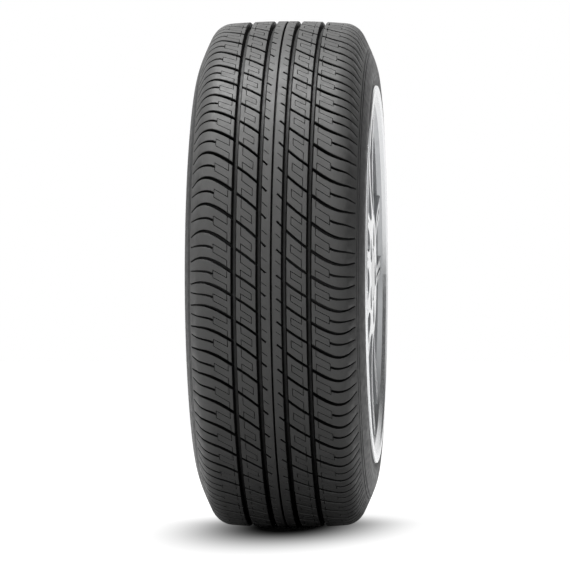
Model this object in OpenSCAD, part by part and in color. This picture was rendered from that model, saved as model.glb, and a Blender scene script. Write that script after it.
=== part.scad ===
// A tubeless car tyre on its light-alloy wheel, with the valve and the centre cap.
// The wheel's centre is the origin and it spins about Y. The design face looks along -Y.
// Each piece is drawn with the axle along Z and that face up, then laid over by on_axle().

/* [Tyre size] */
// Nominal width of the inflated tyre
section_w = 215; // [205:1:225]
// Height of the sidewall as a percentage of the width
aspect_pct = 45; // [42:1:50]
// Nominal diameter of the rim
rim_d = 431.8; // [425:0.1:438]
// How far the rubber is pressed flat where it stands
contact_flat = 2; // [1:0.5:4]

/* [Tyre section] */
// Radius of the crown from side to side
crown_r = 900; // [600:50:1400]
// Distance in from the widest place to where the crown turns into the shoulder
crown_inset = 37.5; // [34:0.5:41]
// Radius of each shoulder
shoulder_r = 26; // [22:1:30]
// Angle through which each shoulder turns down
shoulder_turn = 64; // [60:1:70]
// Depth of the widest place below the crown
bulge_drop = 61; // [56:1:66]
// Thickness of rubber and belts under the crown's surface
crown_t = 15; // [13:0.5:18]
// Thickness of each sidewall
sidewall_t = 8; // [6:0.5:10]
// Width of each bead at its base
bead_w = 19.5; // [17:0.5:21]
// Clearance between the beads and the rim
bead_fit = 0.2; // [0.1:0.05:0.4]

/* [Tread pattern] */
// Number of pattern pitches round the tread
pitch_count = 64; // [56:1:72]
// Distance in from the widest place to the edge of the moulded pattern
tread_inset = 13.8; // [12:0.1:16]
// Depth of the main grooves
groove_depth = 8; // [6:0.5:9]
// Width of the two inner main grooves
inner_groove_w = 7.4; // [6:0.1:8.5]
// Place of the inner main grooves, from the middle
inner_groove_at = 15.1; // [14:0.1:17]
// Width of the two outer main grooves
outer_groove_w = 7.4; // [6:0.1:8.5]
// Place of the outer main grooves, from the middle
outer_groove_at = 44.7; // [43:0.1:46]
// Width of the narrow centre groove
centre_groove_w = 3.2; // [2:0.1:4]
// Slant of each main groove's walls
groove_draft = 1.8; // [1.2:0.1:2.2]
// Depth of the cross grooves
cross_depth = 6.5; // [5:0.5:7.5]
// Width of the cross grooves in the shoulders
cross_w = 3.8; // [2.8:0.1:4.5]
// Width of the cross grooves in the ribs
rib_cross_w = 3.2; // [2.4:0.1:4]
// Width of the short grooves between the cross grooves
short_w = 3; // [2:0.1:3.6]
// Width of the notches in the two centre ribs
notch_w = 2.4; // [1.6:0.1:3]
// How steeply the cross grooves climb in the ribs
cross_climb = 0.8; // [0.6:0.05:1]
// How much steeper the cross grooves start than they end in the ribs
cross_bow = 0.2; // [0:0.05:0.3]
// How steeply they climb where the shoulders begin
shoulder_climb = 0.7; // [0.5:0.05:0.9]
// Distance in from the widest place to where the cross grooves stop climbing
climb_inset = 23.5; // [20:0.5:27]

/* [Rim] */
// Width between the flanges
rim_w = 190.5; // [184:0.5:196]
// Height of the flanges above the nominal diameter
flange_h = 17.5; // [16:0.1:19]
// Radius over the top of each flange
flange_r = 9.5; // [8.5:0.1:10.5]
// Reach of the outer lip beyond its flange wall
lip_reach = 13.75; // [12:0.25:16]
// Reach of the inner lip beyond its flange wall
inner_lip_reach = 12; // [11:0.25:14]
// Height of the bead seats above the nominal diameter
seat_rise = 2.4; // [1.5:0.1:3]
// Slope of the bead seats in degrees
seat_slope = 5; // [3:0.5:7]
// Depth of the well below the nominal diameter
well_depth = 18.4; // [17:0.2:20]
// Slope of the well's outer wall, which carries the valve, in degrees
well_slope = 45; // [40:1:50]
// Wall thickness of the barrel
barrel_t = 6.5; // [5.5:0.25:8]

/* [Spokes] */
// Number of twin spokes
spoke_pairs = 5; // [5:1:6]
// Lean of each pair from hub to rim, in degrees
spoke_lean = 17.9; // [10:0.1:22]
// Half the gap between the two arms' middle lines at the hub
arm_half_gap_hub = 20; // [18:0.5:24]
// Half the gap between the two arms' middle lines at the rim
arm_half_gap_rim = 43; // [36:0.5:46]
// Width of an arm at the hub
arm_w_hub = 24; // [20:0.5:28]
// Width of an arm at the rim
arm_w_rim = 29; // [24:0.5:34]
// Width left as a step along each side of an arm
arm_step_w = 3; // [2:0.25:4]
// Depth of that step below the machined face
arm_step_t = 5; // [3:0.25:7]
// Width of the slot along the middle of each arm, as deep as the steps
arm_slot_w = 3.5; // [2.5:0.25:5]
// Thickness of the arms at the rim
arm_t_rim = 27; // [22:0.5:32]
// Thickness of the arms beside the hub
arm_t_hub = 42; // [36:0.5:46]
// Radius out to which the hub's web fills the space between the arms
web_r = 88.5; // [86:0.5:91]
// Radius of each narrow window's inner end, between the two arms of a pair
narrow_end_r = 12.1; // [10:0.1:12.5]
// Radius of each wide window's inner end, between two pairs
wide_end_r = 18.5; // [15:0.1:19]

/* [Hub] */
// Distance from the wheel's middle plane out to the mounting face
hub_offset = 40; // [35:0.5:45]
// Distance from the wheel's middle plane out to the hub's face
hub_face = 103; // [98:0.5:105]
// Radius of the hub
hub_r = 73; // [71:0.5:76]
// Diameter of the centre bore
bore_d = 57.1; // [54:0.1:60]
// Depth of the centre bore from the mounting face
bore_l = 26; // [22:1:30]
// Diameter of the bolt circle
bolt_circle_d = 100; // [98:0.1:108]
// Number of wheel bolts
bolt_count = 5; // [4:1:6]
// Diameter of the bolt holes
bolt_hole_d = 15; // [13:0.1:16]
// Diameter of the pockets that the bolt heads sit in
bolt_pocket_d = 28; // [26:0.5:30]
// Metal left under each bolt seat
bolt_seat_t = 12; // [10:0.5:16]

/* [Centre cap] */
// Diameter of the centre cap
cap_d = 62; // [60:0.5:66]
// Depth of the recess that the cap sits in
cap_recess = 14; // [12:0.5:18]
// Clearance round the cap
cap_fit = 0.15; // [0.1:0.05:0.3]
// Diameter of the bore that the cap clips into
clip_bore_d = 54; // [50:0.5:56]
// Thickness of the cap's face
cap_face_t = 3; // [2.5:0.25:4]
// Wall of the cap's clip ring
cap_clip_t = 1.8; // [1.5:0.1:2.5]
// Thickness of the spring wire inside the clips
cap_wire_d = 1.6; // [1.2:0.1:2]

/* [Valve] */
// Diameter of the hole in the rim for the valve
valve_hole_d = 11.3; // [10.5:0.1:12]
// Metal left round the valve hole
valve_seat_t = 4; // [3:0.25:5]
// Length of the rubber body outside the rim
valve_body_l = 24; // [20:0.5:30]
// Diameter of the brass tube where it leaves the rubber
valve_tube_d = 7.7; // [7:0.1:8.5]
// Diameter of the dust cap
valve_cap_d = 9.6; // [9:0.1:11]

/* [Hidden] */

// Fineness of the round parts
fn_big = 180;
fn_small = 64;

// Sizes that follow from the tyre's marking
rim_r = rim_d / 2;
tyre_r = rim_r + section_w * aspect_pct / 100;
rim_half_w = rim_w / 2;
tyre_half_w = section_w / 2;
crown_half_w = tyre_half_w - crown_inset;
tread_half_w = tyre_half_w - tread_inset;
climb_end = tyre_half_w - climb_inset;
flange_top = rim_r + flange_h;
seat_r = rim_r + seat_rise;

// The shoulder arc starts where the crown has turned by this angle
crown_turn = asin(crown_half_w / crown_r);
shoulder_centre = [tyre_r - crown_r + (crown_r - shoulder_r) * cos(crown_turn),
                   (crown_r - shoulder_r) * sin(crown_turn)];

// A point of the tread's surface, [radius, sideways], where the surface has turned by an angle.
// Sunk is how far below the surface it lies, square to it.
function tread_point(turn, sunk = 0) =
    turn <= crown_turn
    ? [tyre_r - crown_r + (crown_r - sunk) * cos(turn), (crown_r - sunk) * sin(turn)]
    : shoulder_centre + (shoulder_r - sunk) * [cos(turn), sin(turn)];

// A curve from one point to another that leaves and arrives along the lines through the middle one
function bow(from, by, to, steps) =
    [for (i = [1:steps]) let (t = i / steps) (1 - t) ^ 2 * from + 2 * t * (1 - t) * by + t ^ 2 * to];

function mirrored(points) = [for (i = [len(points) - 1:-1:0]) [points[i][0], -points[i][1]]];

module on_axle() rotate([90, 0, 0]) children();

// Tyre section

shoulder_end = tread_point(shoulder_turn);
// The rib that guards the flange stands out as far as the sidewall does
guard_r = flange_top + 9;
guard_t = 3.5;
// On a low tyre the widest place stays clear of that rib
bulge_r = max(tyre_r - bulge_drop, guard_r + guard_t + 2);
bulge = [bulge_r, tyre_half_w];
// The tyre leaves the flange where the flange has turned by this angle
flange_leave = 50;
flange_centre = [flange_top - flange_r, rim_half_w + flange_r];
heel_r = 4.5;

// Sideways place of the tangent point between the shoulder's end and the widest place
shoulder_run = (tyre_half_w - shoulder_end[1]) * tan(shoulder_turn);

// The crown is drawn in three stretches that meet inside the main grooves
tyre_outer = concat(
    [for (at = [0, inner_groove_at, outer_groove_at]) tread_point(asin(at / crown_r))],
    [for (i = [0:4]) tread_point(crown_turn + (shoulder_turn - crown_turn) * i / 4)],
    bow(shoulder_end, [shoulder_end[0] - shoulder_run, tyre_half_w], bulge, 6),
    [[guard_r + guard_t, tyre_half_w - 0.2],
     [guard_r + 1, tyre_half_w - 0.4],
     [guard_r - 1.5, tyre_half_w - 1.6],
     [guard_r - guard_t, tyre_half_w - 4]]);

// The bead bears on the flange, the flange's wall, the heel and the seat, clear by the fit
function flange_point(turn, clear) =
    flange_centre + (flange_r + clear) * [cos(turn), -sin(turn)];
function heel_point(turn, clear) =
    [seat_r + heel_r, rim_half_w - heel_r] + (heel_r - clear) * [-cos(turn), sin(turn)];
toe = [seat_r - (bead_w - heel_r) * tan(seat_slope) + bead_fit, rim_half_w - bead_w];

tyre_foot = concat(
    [for (turn = [flange_leave:10:90]) flange_point(turn, bead_fit)],
    [for (turn = [90:-30:0]) heel_point(turn, bead_fit)],
    [toe]);

liner_r = bulge_r;
liner_half_w = tyre_half_w - sidewall_t;
liner_crown = [tyre_r - crown_t - 2.2, crown_half_w - 5];
tyre_inner = concat(
    [[toe[0] + 5.5, toe[1] - 0.8]],
    bow([toe[0] + 5.5, toe[1] - 0.8], [flange_top + 0.5, liner_half_w - 3], [liner_r, liner_half_w], 6),
    bow([liner_r, liner_half_w], [liner_crown[0] - 2, liner_half_w], liner_crown, 6),
    [[tyre_r - crown_t, 0]]);

module tyre_section() {
    half = concat(tyre_outer, tyre_foot, tyre_inner);
    polygon(concat([for (p = half) p], mirrored([for (i = [1:len(half) - 2]) half[i]])));
}

// One main groove of the tread, cut with slanting walls
module groove_section(at, width, depth) {
    top = tyre_r - crown_r + sqrt(crown_r ^ 2 - at ^ 2);
    over = 3;
    draft = groove_draft * min(1, width / inner_groove_w);
    flare = draft * over / depth;
    polygon([[top - depth, at - width / 2 + draft],
             [top + over, at - width / 2 - flare],
             [top + over, at + width / 2 + flare],
             [top - depth, at + width / 2 - draft]]);
}

module tread_grooves() {
    groove_section(0, centre_groove_w, groove_depth * 0.75);
    for (side = [-1, 1]) {
        groove_section(side * inner_groove_at, inner_groove_w, groove_depth);
        groove_section(side * outer_groove_at, outer_groove_w, groove_depth);
    }
}

// Tread pattern

// The pitches come in three lengths, 9, 10 and 11 parts long, in a rhythm that quiets the tread
function pitch_parts(i) = 10 + round(1.25 * sin(i * 360 * 7 / pitch_count) + 0.2 * sin(i * 97));
pitch_sums = [for (i = 0, sum = 0; i <= pitch_count; sum = sum + pitch_parts(i), i = i + 1) sum];
part_angle = 360 / pitch_sums[pitch_count];

// Angle round the tyre after so many pitches, whole or broken
function pitch_angle(pitches) =
    let (whole = floor(pitches),
         turns = floor(whole / pitch_count),
         i = whole - turns * pitch_count,
         share = pitches - whole)
    360 * turns + part_angle * (pitch_sums[i] + share * (pitch_sums[i + 1] - pitch_sums[i]));

// Length of an average pitch, measured round the crown
pitch_l = 2 * PI * tyre_r / pitch_count;

// How far the cross grooves have climbed at a distance from the middle
climb_start = 4.9;
climb_bend = outer_groove_at + 0.6;
rib_climb = cross_climb * (climb_bend - climb_start);
function cross_line(out) =
    out <= climb_bend
    ? let (t = (out - climb_start) / (climb_bend - climb_start)) rib_climb * (t + cross_bow * t * (1 - t))
    : let (t = (out - climb_bend) / (climb_end - climb_bend))
      rib_climb + shoulder_climb * (climb_end - climb_bend) * (t - t ^ 3 / 3);

// A strip of even width along a line of points
function strip_side(line, width) =
    [for (i = [0:len(line) - 1])
        let (run = line[min(i + 1, len(line) - 1)] - line[max(i - 1, 0)])
        line[i] + width / 2 / norm(run) * [-run[1], run[0]]];
function strip(line, width) =
    let (other = strip_side(line, -width))
    concat(strip_side(line, width), [for (i = [len(other) - 1:-1:0]) other[i]]);

// Stations across the tread at which each kind of cross groove bends
shoulder_cross = [outer_groove_at + 1, crown_half_w - 11, crown_half_w + 4, tread_half_w];
rib_cross = [inner_groove_at + 1, (inner_groove_at + outer_groove_at) / 2, outer_groove_at - 1];
notch_cross = [6.1, inner_groove_at - 1];
short_line = [[crown_half_w - 1.2, 30.6], [crown_half_w + 7.5, 33.6], [tread_half_w, 34.5]];

function cross_points(stations) = [for (out = stations) [out, cross_line(out)]];

// A cutter that sinks one strip of the pattern into the tread, square to the tyre's surface.
// The strip is given as [out, climb] points. Side is 1 towards the design face.
cutter_low = tyre_r - 34;
module pattern_cutter(outline, pitch, side) {
    climbs = [for (p = outline) p[1]];
    middle = (min(climbs) + max(climbs)) / 2;
    angle = pitch_angle(pitch - side * middle / pitch_l);
    rotate([0, 0, 180 - angle]) translate([cutter_low, 0, 0]) rotate([90, 0, 90])
        linear_extrude(tyre_r - cutter_low + 4)
            polygon([for (p = outline)
                [-(pitch_angle(pitch - side * p[1] / pitch_l) - angle) * PI / 180 * tyre_r, side * p[0]]]);
}

// The band of rubber that the cross grooves may take away, following the crown and shoulders
module cross_band() {
    edge = tread_point(shoulder_turn, cross_depth * 0.45);
    half = concat(
        [for (at = [0, outer_groove_at]) tread_point(asin(at / crown_r), cross_depth)],
        [for (i = [0:2])
            tread_point(crown_turn + (shoulder_turn - crown_turn) * i / 3, cross_depth * (1 - 0.15 * i))],
        [edge + 6 * [-sin(shoulder_turn), cos(shoulder_turn)],
         [tyre_r + 8, tyre_half_w - 4]]);
    rotate_extrude($fn = fn_big) polygon(concat(half, mirrored(half)));
}

module cross_grooves() {
    for (pitch = [0:pitch_count - 1], side = [-1, 1]) {
        pattern_cutter(strip(cross_points(shoulder_cross), cross_w), pitch, side);
        pattern_cutter(strip(cross_points(rib_cross), rib_cross_w), pitch, side);
        pattern_cutter(strip(cross_points(notch_cross), notch_w), pitch, side);
        pattern_cutter(strip(short_line, short_w), pitch, side);
    }
}

module tyre() {
    color("#2b2b2d") on_axle() difference() {
        rotate_extrude($fn = fn_big) difference() {
            tyre_section();
            tread_grooves();
        }
        intersection() {
            cross_grooves();
            cross_band();
        }
        translate([-tyre_r, -tyre_r - 10, -tyre_half_w]) cube([2 * tyre_r, 10 + contact_flat, section_w]);
    }
}

// Rim and barrel

lip_face = rim_half_w + lip_reach;
inner_lip_face = rim_half_w + inner_lip_reach;
well_r = rim_r - well_depth;
seat_end = [seat_r - (bead_w + 1.5 - heel_r) * tan(seat_slope), rim_half_w - bead_w - 1.5];
hump_h = 0.8;
hump_w = 4;
edge_r = 2.2;

// Tyre side of one half of the rim, from the lip's edge to the foot of the hump.
// The lip's edge is rounded less where the lip is too thin for the whole radius.
function rim_side(face) = let (edge = min(edge_r, face - flange_centre[1] - 0.3)) concat(
    [[flange_top - edge, face],
     [flange_top - 0.3 * edge, face - 0.3 * edge],
     [flange_top, face - edge]],
    [for (turn = [0:15:90]) flange_point(turn, 0)],
    [for (turn = [90:-30:0]) heel_point(turn, 0)],
    [seat_end,
     [seat_end[0] + hump_h, seat_end[1] - hump_w / 2],
     [seat_end[0], seat_end[1] - hump_w]]);

hump_foot = [seat_end[0], seat_end[1] - hump_w];
well_edge = [well_r, hump_foot[1] - (hump_foot[0] - well_r) / tan(well_slope)];
well_w = 31;
well_back = well_edge[1] - well_w;
barrel_r = rim_r - 6.5;
barrel_start = well_back - 18;
// The wall's inner side runs alongside the well's outer wall
wall_shift = barrel_t / sin(well_slope);
window_r = hump_foot[0] - 7.5;

module barrel_section() {
    inner_side = rim_side(inner_lip_face);
    polygon(concat(
        rim_side(lip_face),
        [well_edge,
         [well_r, well_back],
         [barrel_r, barrel_start],
         [barrel_r + 2, -hump_foot[1]]],
        mirrored(inner_side),
        [[flange_top - 7, -inner_lip_face],
         [seat_r - 3, -rim_half_w + 1],
         [seat_r - barrel_t - 2, -seat_end[1]],
         [barrel_r + 2 - barrel_t, -hump_foot[1] + 4],
         [barrel_r - barrel_t, barrel_start - 2],
         [well_r - barrel_t, well_back - 1],
         [well_r - barrel_t, well_edge[1] + wall_shift - barrel_t / tan(well_slope)],
         [window_r, well_edge[1] + wall_shift + (window_r - well_r) / tan(well_slope)],
         [window_r + 1, rim_half_w + 2],
         [window_r + 5, lip_face - 6],
         [flange_top - 12, lip_face - 2],
         [flange_top - 10, lip_face]]));
}

// Spokes

arm_root = bolt_circle_d / 2;
arm_front_rim = lip_face - 8;
arm_ring_out = window_r + 2;
arm_l = arm_ring_out - arm_root + 24;
arm_ring_in = cap_d / 2 + 2;

// Section of the disc that the arms are cut from. Sunk lowers its face.
module arm_ring_section(sunk) {
    front = bow([hub_r, hub_face], [0.62 * window_r, hub_face - 6], [arm_ring_out, arm_front_rim], 6);
    back = bow([arm_ring_out, arm_front_rim - arm_t_rim],
               [0.6 * window_r, hub_face - arm_t_hub],
               [hub_r, hub_face - arm_t_hub], 6);
    polygon(concat(
        [[arm_ring_in, hub_face - sunk], [hub_r, hub_face - sunk]],
        [for (p = front) [p[0], p[1] - sunk]],
        [[arm_ring_out, arm_front_rim - arm_t_rim]],
        back,
        [[arm_ring_in, hub_face - arm_t_hub]]));
}

// Outline of one arm, flared where it meets the hub and the rim. Trim narrows it.
module arm_outline(trim) {
    steps = 12;
    run = [for (i = [0:steps]) i / steps];
    function middle(t) = [arm_l * t, arm_half_gap_hub + (arm_half_gap_rim - arm_half_gap_hub) * t];
    function half_w(t) = (arm_w_hub + (arm_w_rim - arm_w_hub) * t) / 2 + 5 * (1 - t) ^ 8 + 7 * t ^ 10 - trim;
    polygon(concat(
        [for (t = run) middle(t) + [0, half_w(t)]],
        [for (i = [steps:-1:0]) middle(run[i]) - [0, half_w(run[i])]]));
}

// A strip with round ends along the middle of one arm
module arm_slot_outline() {
    near = 36;
    far = window_r - arm_root - 12;
    rise = (arm_half_gap_rim - arm_half_gap_hub) / arm_l;
    slot_l = (far - near) * sqrt(1 + rise ^ 2);
    translate([near, arm_half_gap_hub + rise * near]) rotate(atan(rise)) {
        circle(d = arm_slot_w, $fn = 24);
        translate([0, -arm_slot_w / 2]) square([slot_l, arm_slot_w]);
        translate([slot_l, 0]) circle(d = arm_slot_w, $fn = 24);
    }
}

// Places a child once for each arm
module each_arm() {
    for (pair = [0:spoke_pairs - 1], side = [0, 1])
        rotate([0, 0, pair * 360 / spoke_pairs])
            translate([arm_root, 0]) rotate([0, 0, spoke_lean]) mirror([0, side, 0]) children();
}

// The web round the hub, hollowed by the round inner ends of the windows. Trim widens the hollows.
// Each end touches the arms on both sides of it at about the web's radius.
narrow_end_turn = 7.85;
narrow_end_at = web_r + 0.7;
wide_end_turn = 43;
wide_end_at = web_r + 7.5;
module web(trim) {
    difference() {
        cylinder(r = web_r, h = lip_face, $fn = fn_big);
        for (pair = [0:spoke_pairs - 1]) rotate([0, 0, pair * 360 / spoke_pairs]) {
            rotate([0, 0, narrow_end_turn]) translate([narrow_end_at, 0, -1])
                cylinder(r = narrow_end_r + trim, h = lip_face + 2, $fn = fn_small);
            rotate([0, 0, wide_end_turn]) translate([wide_end_at, 0, -1])
                cylinder(r = wide_end_r + trim, h = lip_face + 2, $fn = fn_small);
        }
    }
}

module arms() {
    intersection() {
        union() {
            each_arm() linear_extrude(lip_face) arm_outline(0);
            web(0);
        }
        rotate_extrude($fn = fn_big) arm_ring_section(arm_step_t);
    }
    intersection() {
        union() {
            each_arm() linear_extrude(lip_face) difference() {
                arm_outline(arm_step_w);
                arm_slot_outline();
            }
            web(arm_step_w);
        }
        rotate_extrude($fn = fn_big) arm_ring_section(0);
    }
}

// Hub

recess_floor = hub_face - cap_recess;
bolt_seat = hub_offset + bolt_seat_t;
seat_cone_l = (bolt_pocket_d - bolt_hole_d) / 2 / tan(30);

module hub_blank() {
    bevel = 2;
    rotate_extrude($fn = fn_big) polygon([
        [0, hub_offset],
        [hub_r - bevel, hub_offset],
        [hub_r, hub_offset + bevel],
        [hub_r, hub_face - arm_step_t],
        [0, hub_face - arm_step_t]]);
}

// A bevel round the mouth of a hole in the hub's face
module mouth_bevel(hole_d, fn) {
    bevel = 1.2;
    translate([0, 0, hub_face - bevel])
        cylinder(d1 = hole_d, d2 = hole_d + 4 * bevel, h = 2 * bevel, $fn = fn);
}

module bolt_pocket() {
    translate([0, 0, hub_offset - 1]) cylinder(d = bolt_hole_d, h = hub_face - hub_offset + 2, $fn = fn_small);
    translate([0, 0, bolt_seat])
        cylinder(d1 = bolt_hole_d, d2 = bolt_pocket_d, h = seat_cone_l, $fn = fn_small);
    translate([0, 0, bolt_seat + seat_cone_l]) cylinder(d = bolt_pocket_d, h = hub_face, $fn = fn_small);
    mouth_bevel(bolt_pocket_d, fn_small);
}

// Hollows cast into the back of the hub, between the bolts
module back_hollow() {
    hollow_d = 24;
    hollow_depth = 28;
    translate([arm_root + 4, 0, hub_offset - 1]) cylinder(d = hollow_d, h = hollow_depth + 1, $fn = fn_small);
}

module hub_cuts() {
    bore_bevel = 1.5;
    translate([0, 0, hub_offset - 1]) cylinder(d = bore_d, h = bore_l + 1, $fn = fn_big);
    translate([0, 0, hub_offset]) cylinder(d = clip_bore_d, h = hub_face - hub_offset, $fn = fn_big);
    translate([0, 0, hub_offset - 1])
        cylinder(d1 = bore_d + 2 * bore_bevel + 2, d2 = bore_d, h = bore_bevel + 1, $fn = fn_big);
    translate([0, 0, recess_floor]) cylinder(d = cap_d, h = hub_face, $fn = fn_big);
    mouth_bevel(cap_d, fn_big);
    for (bolt = [0:bolt_count - 1]) {
        rotate([0, 0, bolt * 360 / bolt_count]) translate([bolt_circle_d / 2, 0, 0]) bolt_pocket();
        rotate([0, 0, (bolt + 0.5) * 360 / bolt_count]) back_hollow();
    }
}

// Valve place: square to the well's outer wall, in the window on the far side from the first pair

valve_window = 2.5;
valve_angle = 360 / spoke_pairs * valve_window + 12;
valve_out = (hump_foot[0] - well_r) * 0.48;
module at_valve() {
    rotate([0, 0, valve_angle])
        translate([well_r + valve_out, 0, well_edge[1] + valve_out / tan(well_slope)])
            rotate([0, -well_slope, 0]) children();
}

module valve_hole() {
    spot_d = 21;
    at_valve() {
        translate([0, 0, -6]) cylinder(d = valve_hole_d, h = barrel_t + 12, $fn = fn_small);
        translate([0, 0, valve_seat_t]) cylinder(d = spot_d, h = 12, $fn = fn_small);
    }
}

module wheel() {
    color("#c9ccd0") on_axle() difference() {
        union() {
            rotate_extrude($fn = fn_big) barrel_section();
            arms();
            hub_blank();
        }
        hub_cuts();
        valve_hole();
    }
}

// Valve, drawn along its own axis from the tyre side of the wall

neck_fit = 0.1;
tube_thin_r = 2.6;
tube_bore_r = 1.7;
body_end = valve_seat_t + valve_body_l;
tube_end = body_end + 11;

module valve_stem() {
    bulb_r = valve_hole_d / 2 + 2.2;
    neck_r = valve_hole_d / 2 - neck_fit;
    color("#1c1c1e") on_axle() at_valve() rotate_extrude($fn = fn_small) polygon([
        [tube_thin_r + neck_fit, -6],
        [bulb_r - 2, -6],
        [bulb_r, -4],
        [bulb_r, -0.1],
        [neck_r, -0.1],
        [neck_r, valve_seat_t + 0.1],
        [neck_r + 2, valve_seat_t + 0.1],
        [neck_r + 1.6, valve_seat_t + 6],
        [valve_tube_d / 2 + 0.9, body_end - 2],
        [valve_tube_d / 2 + 0.5, body_end],
        [tube_thin_r + neck_fit, body_end]]);
}

module valve_tube() {
    color("#b08d4a") on_axle() at_valve() rotate_extrude($fn = fn_small) polygon([
        [tube_bore_r, -8],
        [tube_thin_r, -8],
        [tube_thin_r, body_end],
        [valve_tube_d / 2, body_end],
        [valve_tube_d / 2, tube_end - 0.6],
        [valve_tube_d / 2 - 0.6, tube_end],
        [tube_bore_r, tube_end]]);
}

module valve_core() {
    pin_r = 0.5;
    core_r = tube_bore_r - 0.05;
    color("#c8b070") on_axle() at_valve() rotate_extrude($fn = fn_small) polygon([
        [0, tube_end - 26],
        [pin_r + 0.6, tube_end - 26],
        [pin_r + 0.6, tube_end - 24],
        [core_r - 0.5, tube_end - 20],
        [core_r, tube_end - 19],
        [core_r, tube_end - 5],
        [core_r - 0.7, tube_end - 2],
        [pin_r, tube_end - 2],
        [pin_r, tube_end - 0.5],
        [0, tube_end - 0.5]]);
}

module valve_cap() {
    thread_r = valve_tube_d / 2 + 0.1;
    cap_r = valve_cap_d / 2;
    cap_top = tube_end + 2;
    flutes = 16;
    color("#242426") on_axle() at_valve() difference() {
        rotate_extrude($fn = fn_small) polygon([
            [thread_r, body_end + 0.6],
            [cap_r, body_end + 0.6],
            [cap_r, cap_top - 1.5],
            [cap_r - 1.2, cap_top],
            [0, cap_top],
            [0, tube_end + 0.1],
            [thread_r - 0.6, tube_end + 0.1],
            [thread_r, tube_end - 0.6]]);
        for (flute = [0:flutes - 1]) rotate([0, 0, flute * 360 / flutes])
            translate([cap_r + 0.1, 0, body_end + 2]) cylinder(r = 0.4, h = cap_top, $fn = 16);
    }
}

// Centre cap, clipped into its own bore

clip_r = clip_bore_d / 2 - cap_fit;
clip_end = recess_floor - 9;

module centre_cap() {
    cap_r = cap_d / 2 - cap_fit;
    dome = 1.2;
    face_under = hub_face - cap_face_t;
    slots = 6;
    slot_w = 4;
    color("#b9bcc0") on_axle() difference() {
        rotate_extrude($fn = fn_big) polygon(concat(
            [[0, face_under],
             [clip_r - cap_clip_t, face_under],
             [clip_r - cap_clip_t, clip_end],
             [clip_r - 0.8, clip_end],
             [clip_r, clip_end + 1.5],
             [clip_r, recess_floor],
             [cap_r, recess_floor],
             [cap_r, hub_face - 1.2],
             [cap_r - 0.4, hub_face - 0.3],
             [cap_r - 1.2, hub_face]],
            bow([cap_r - 1.2, hub_face], [cap_r * 0.5, hub_face + dome], [0, hub_face + dome], 6)));
        for (slot = [0:slots - 1]) rotate([0, 0, slot * 360 / slots])
            translate([clip_r - cap_clip_t - 2, -slot_w / 2, clip_end - 1])
                cube([cap_clip_t + 4, slot_w, recess_floor - clip_end - 1]);
    }
}

module cap_ring() {
    wire_r = cap_wire_d / 2;
    color("#8e9196") on_axle() translate([0, 0, clip_end + 4])
        rotate_extrude($fn = fn_big) translate([clip_r - cap_clip_t - wire_r - 0.1, 0])
            circle(d = cap_wire_d, $fn = 24);
}

tyre();
wheel();
valve_stem();
valve_tube();
valve_core();
valve_cap();
centre_cap();
cap_ring();
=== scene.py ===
"""A tubeless car tyre on its light-alloy wheel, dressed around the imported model.

The wheel's centre is the origin, the axle lies along Y and the design face looks along -Y.
Sizes are in millimetres until a mesh is written, which is in metres.
"""

import logging
import math
from dataclasses import dataclass, field, replace
from enum import Enum
from typing import Iterable, Sequence

import bpy
import numpy as np
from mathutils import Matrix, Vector
from mathutils.geometry import delaunay_2d_cdt


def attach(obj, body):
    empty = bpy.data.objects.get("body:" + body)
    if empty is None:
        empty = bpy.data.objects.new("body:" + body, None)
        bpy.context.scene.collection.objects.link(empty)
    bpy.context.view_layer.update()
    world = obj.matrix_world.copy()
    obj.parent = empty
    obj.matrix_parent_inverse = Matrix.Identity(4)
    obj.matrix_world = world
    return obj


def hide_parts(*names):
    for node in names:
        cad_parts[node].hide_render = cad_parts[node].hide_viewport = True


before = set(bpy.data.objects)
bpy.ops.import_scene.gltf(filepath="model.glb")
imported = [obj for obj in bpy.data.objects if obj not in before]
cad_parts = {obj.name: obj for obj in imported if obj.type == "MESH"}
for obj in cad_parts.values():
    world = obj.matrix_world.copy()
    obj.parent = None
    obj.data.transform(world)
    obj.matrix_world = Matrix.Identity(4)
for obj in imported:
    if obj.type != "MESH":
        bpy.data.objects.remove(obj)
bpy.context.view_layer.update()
LOG = logging.getLogger("car_tyre")
MM = 0.001
IMAGE_SIDE = 570
# Points that lie this close together, in millimetres, are taken for one place
CLOSE = 1e-3
Colour = tuple[float, float, float]
Place = tuple[float, float, float]
Range = tuple[float, float]
Line = tuple[tuple[float, float], ...]


# ---- Wiring of materials ----


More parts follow.
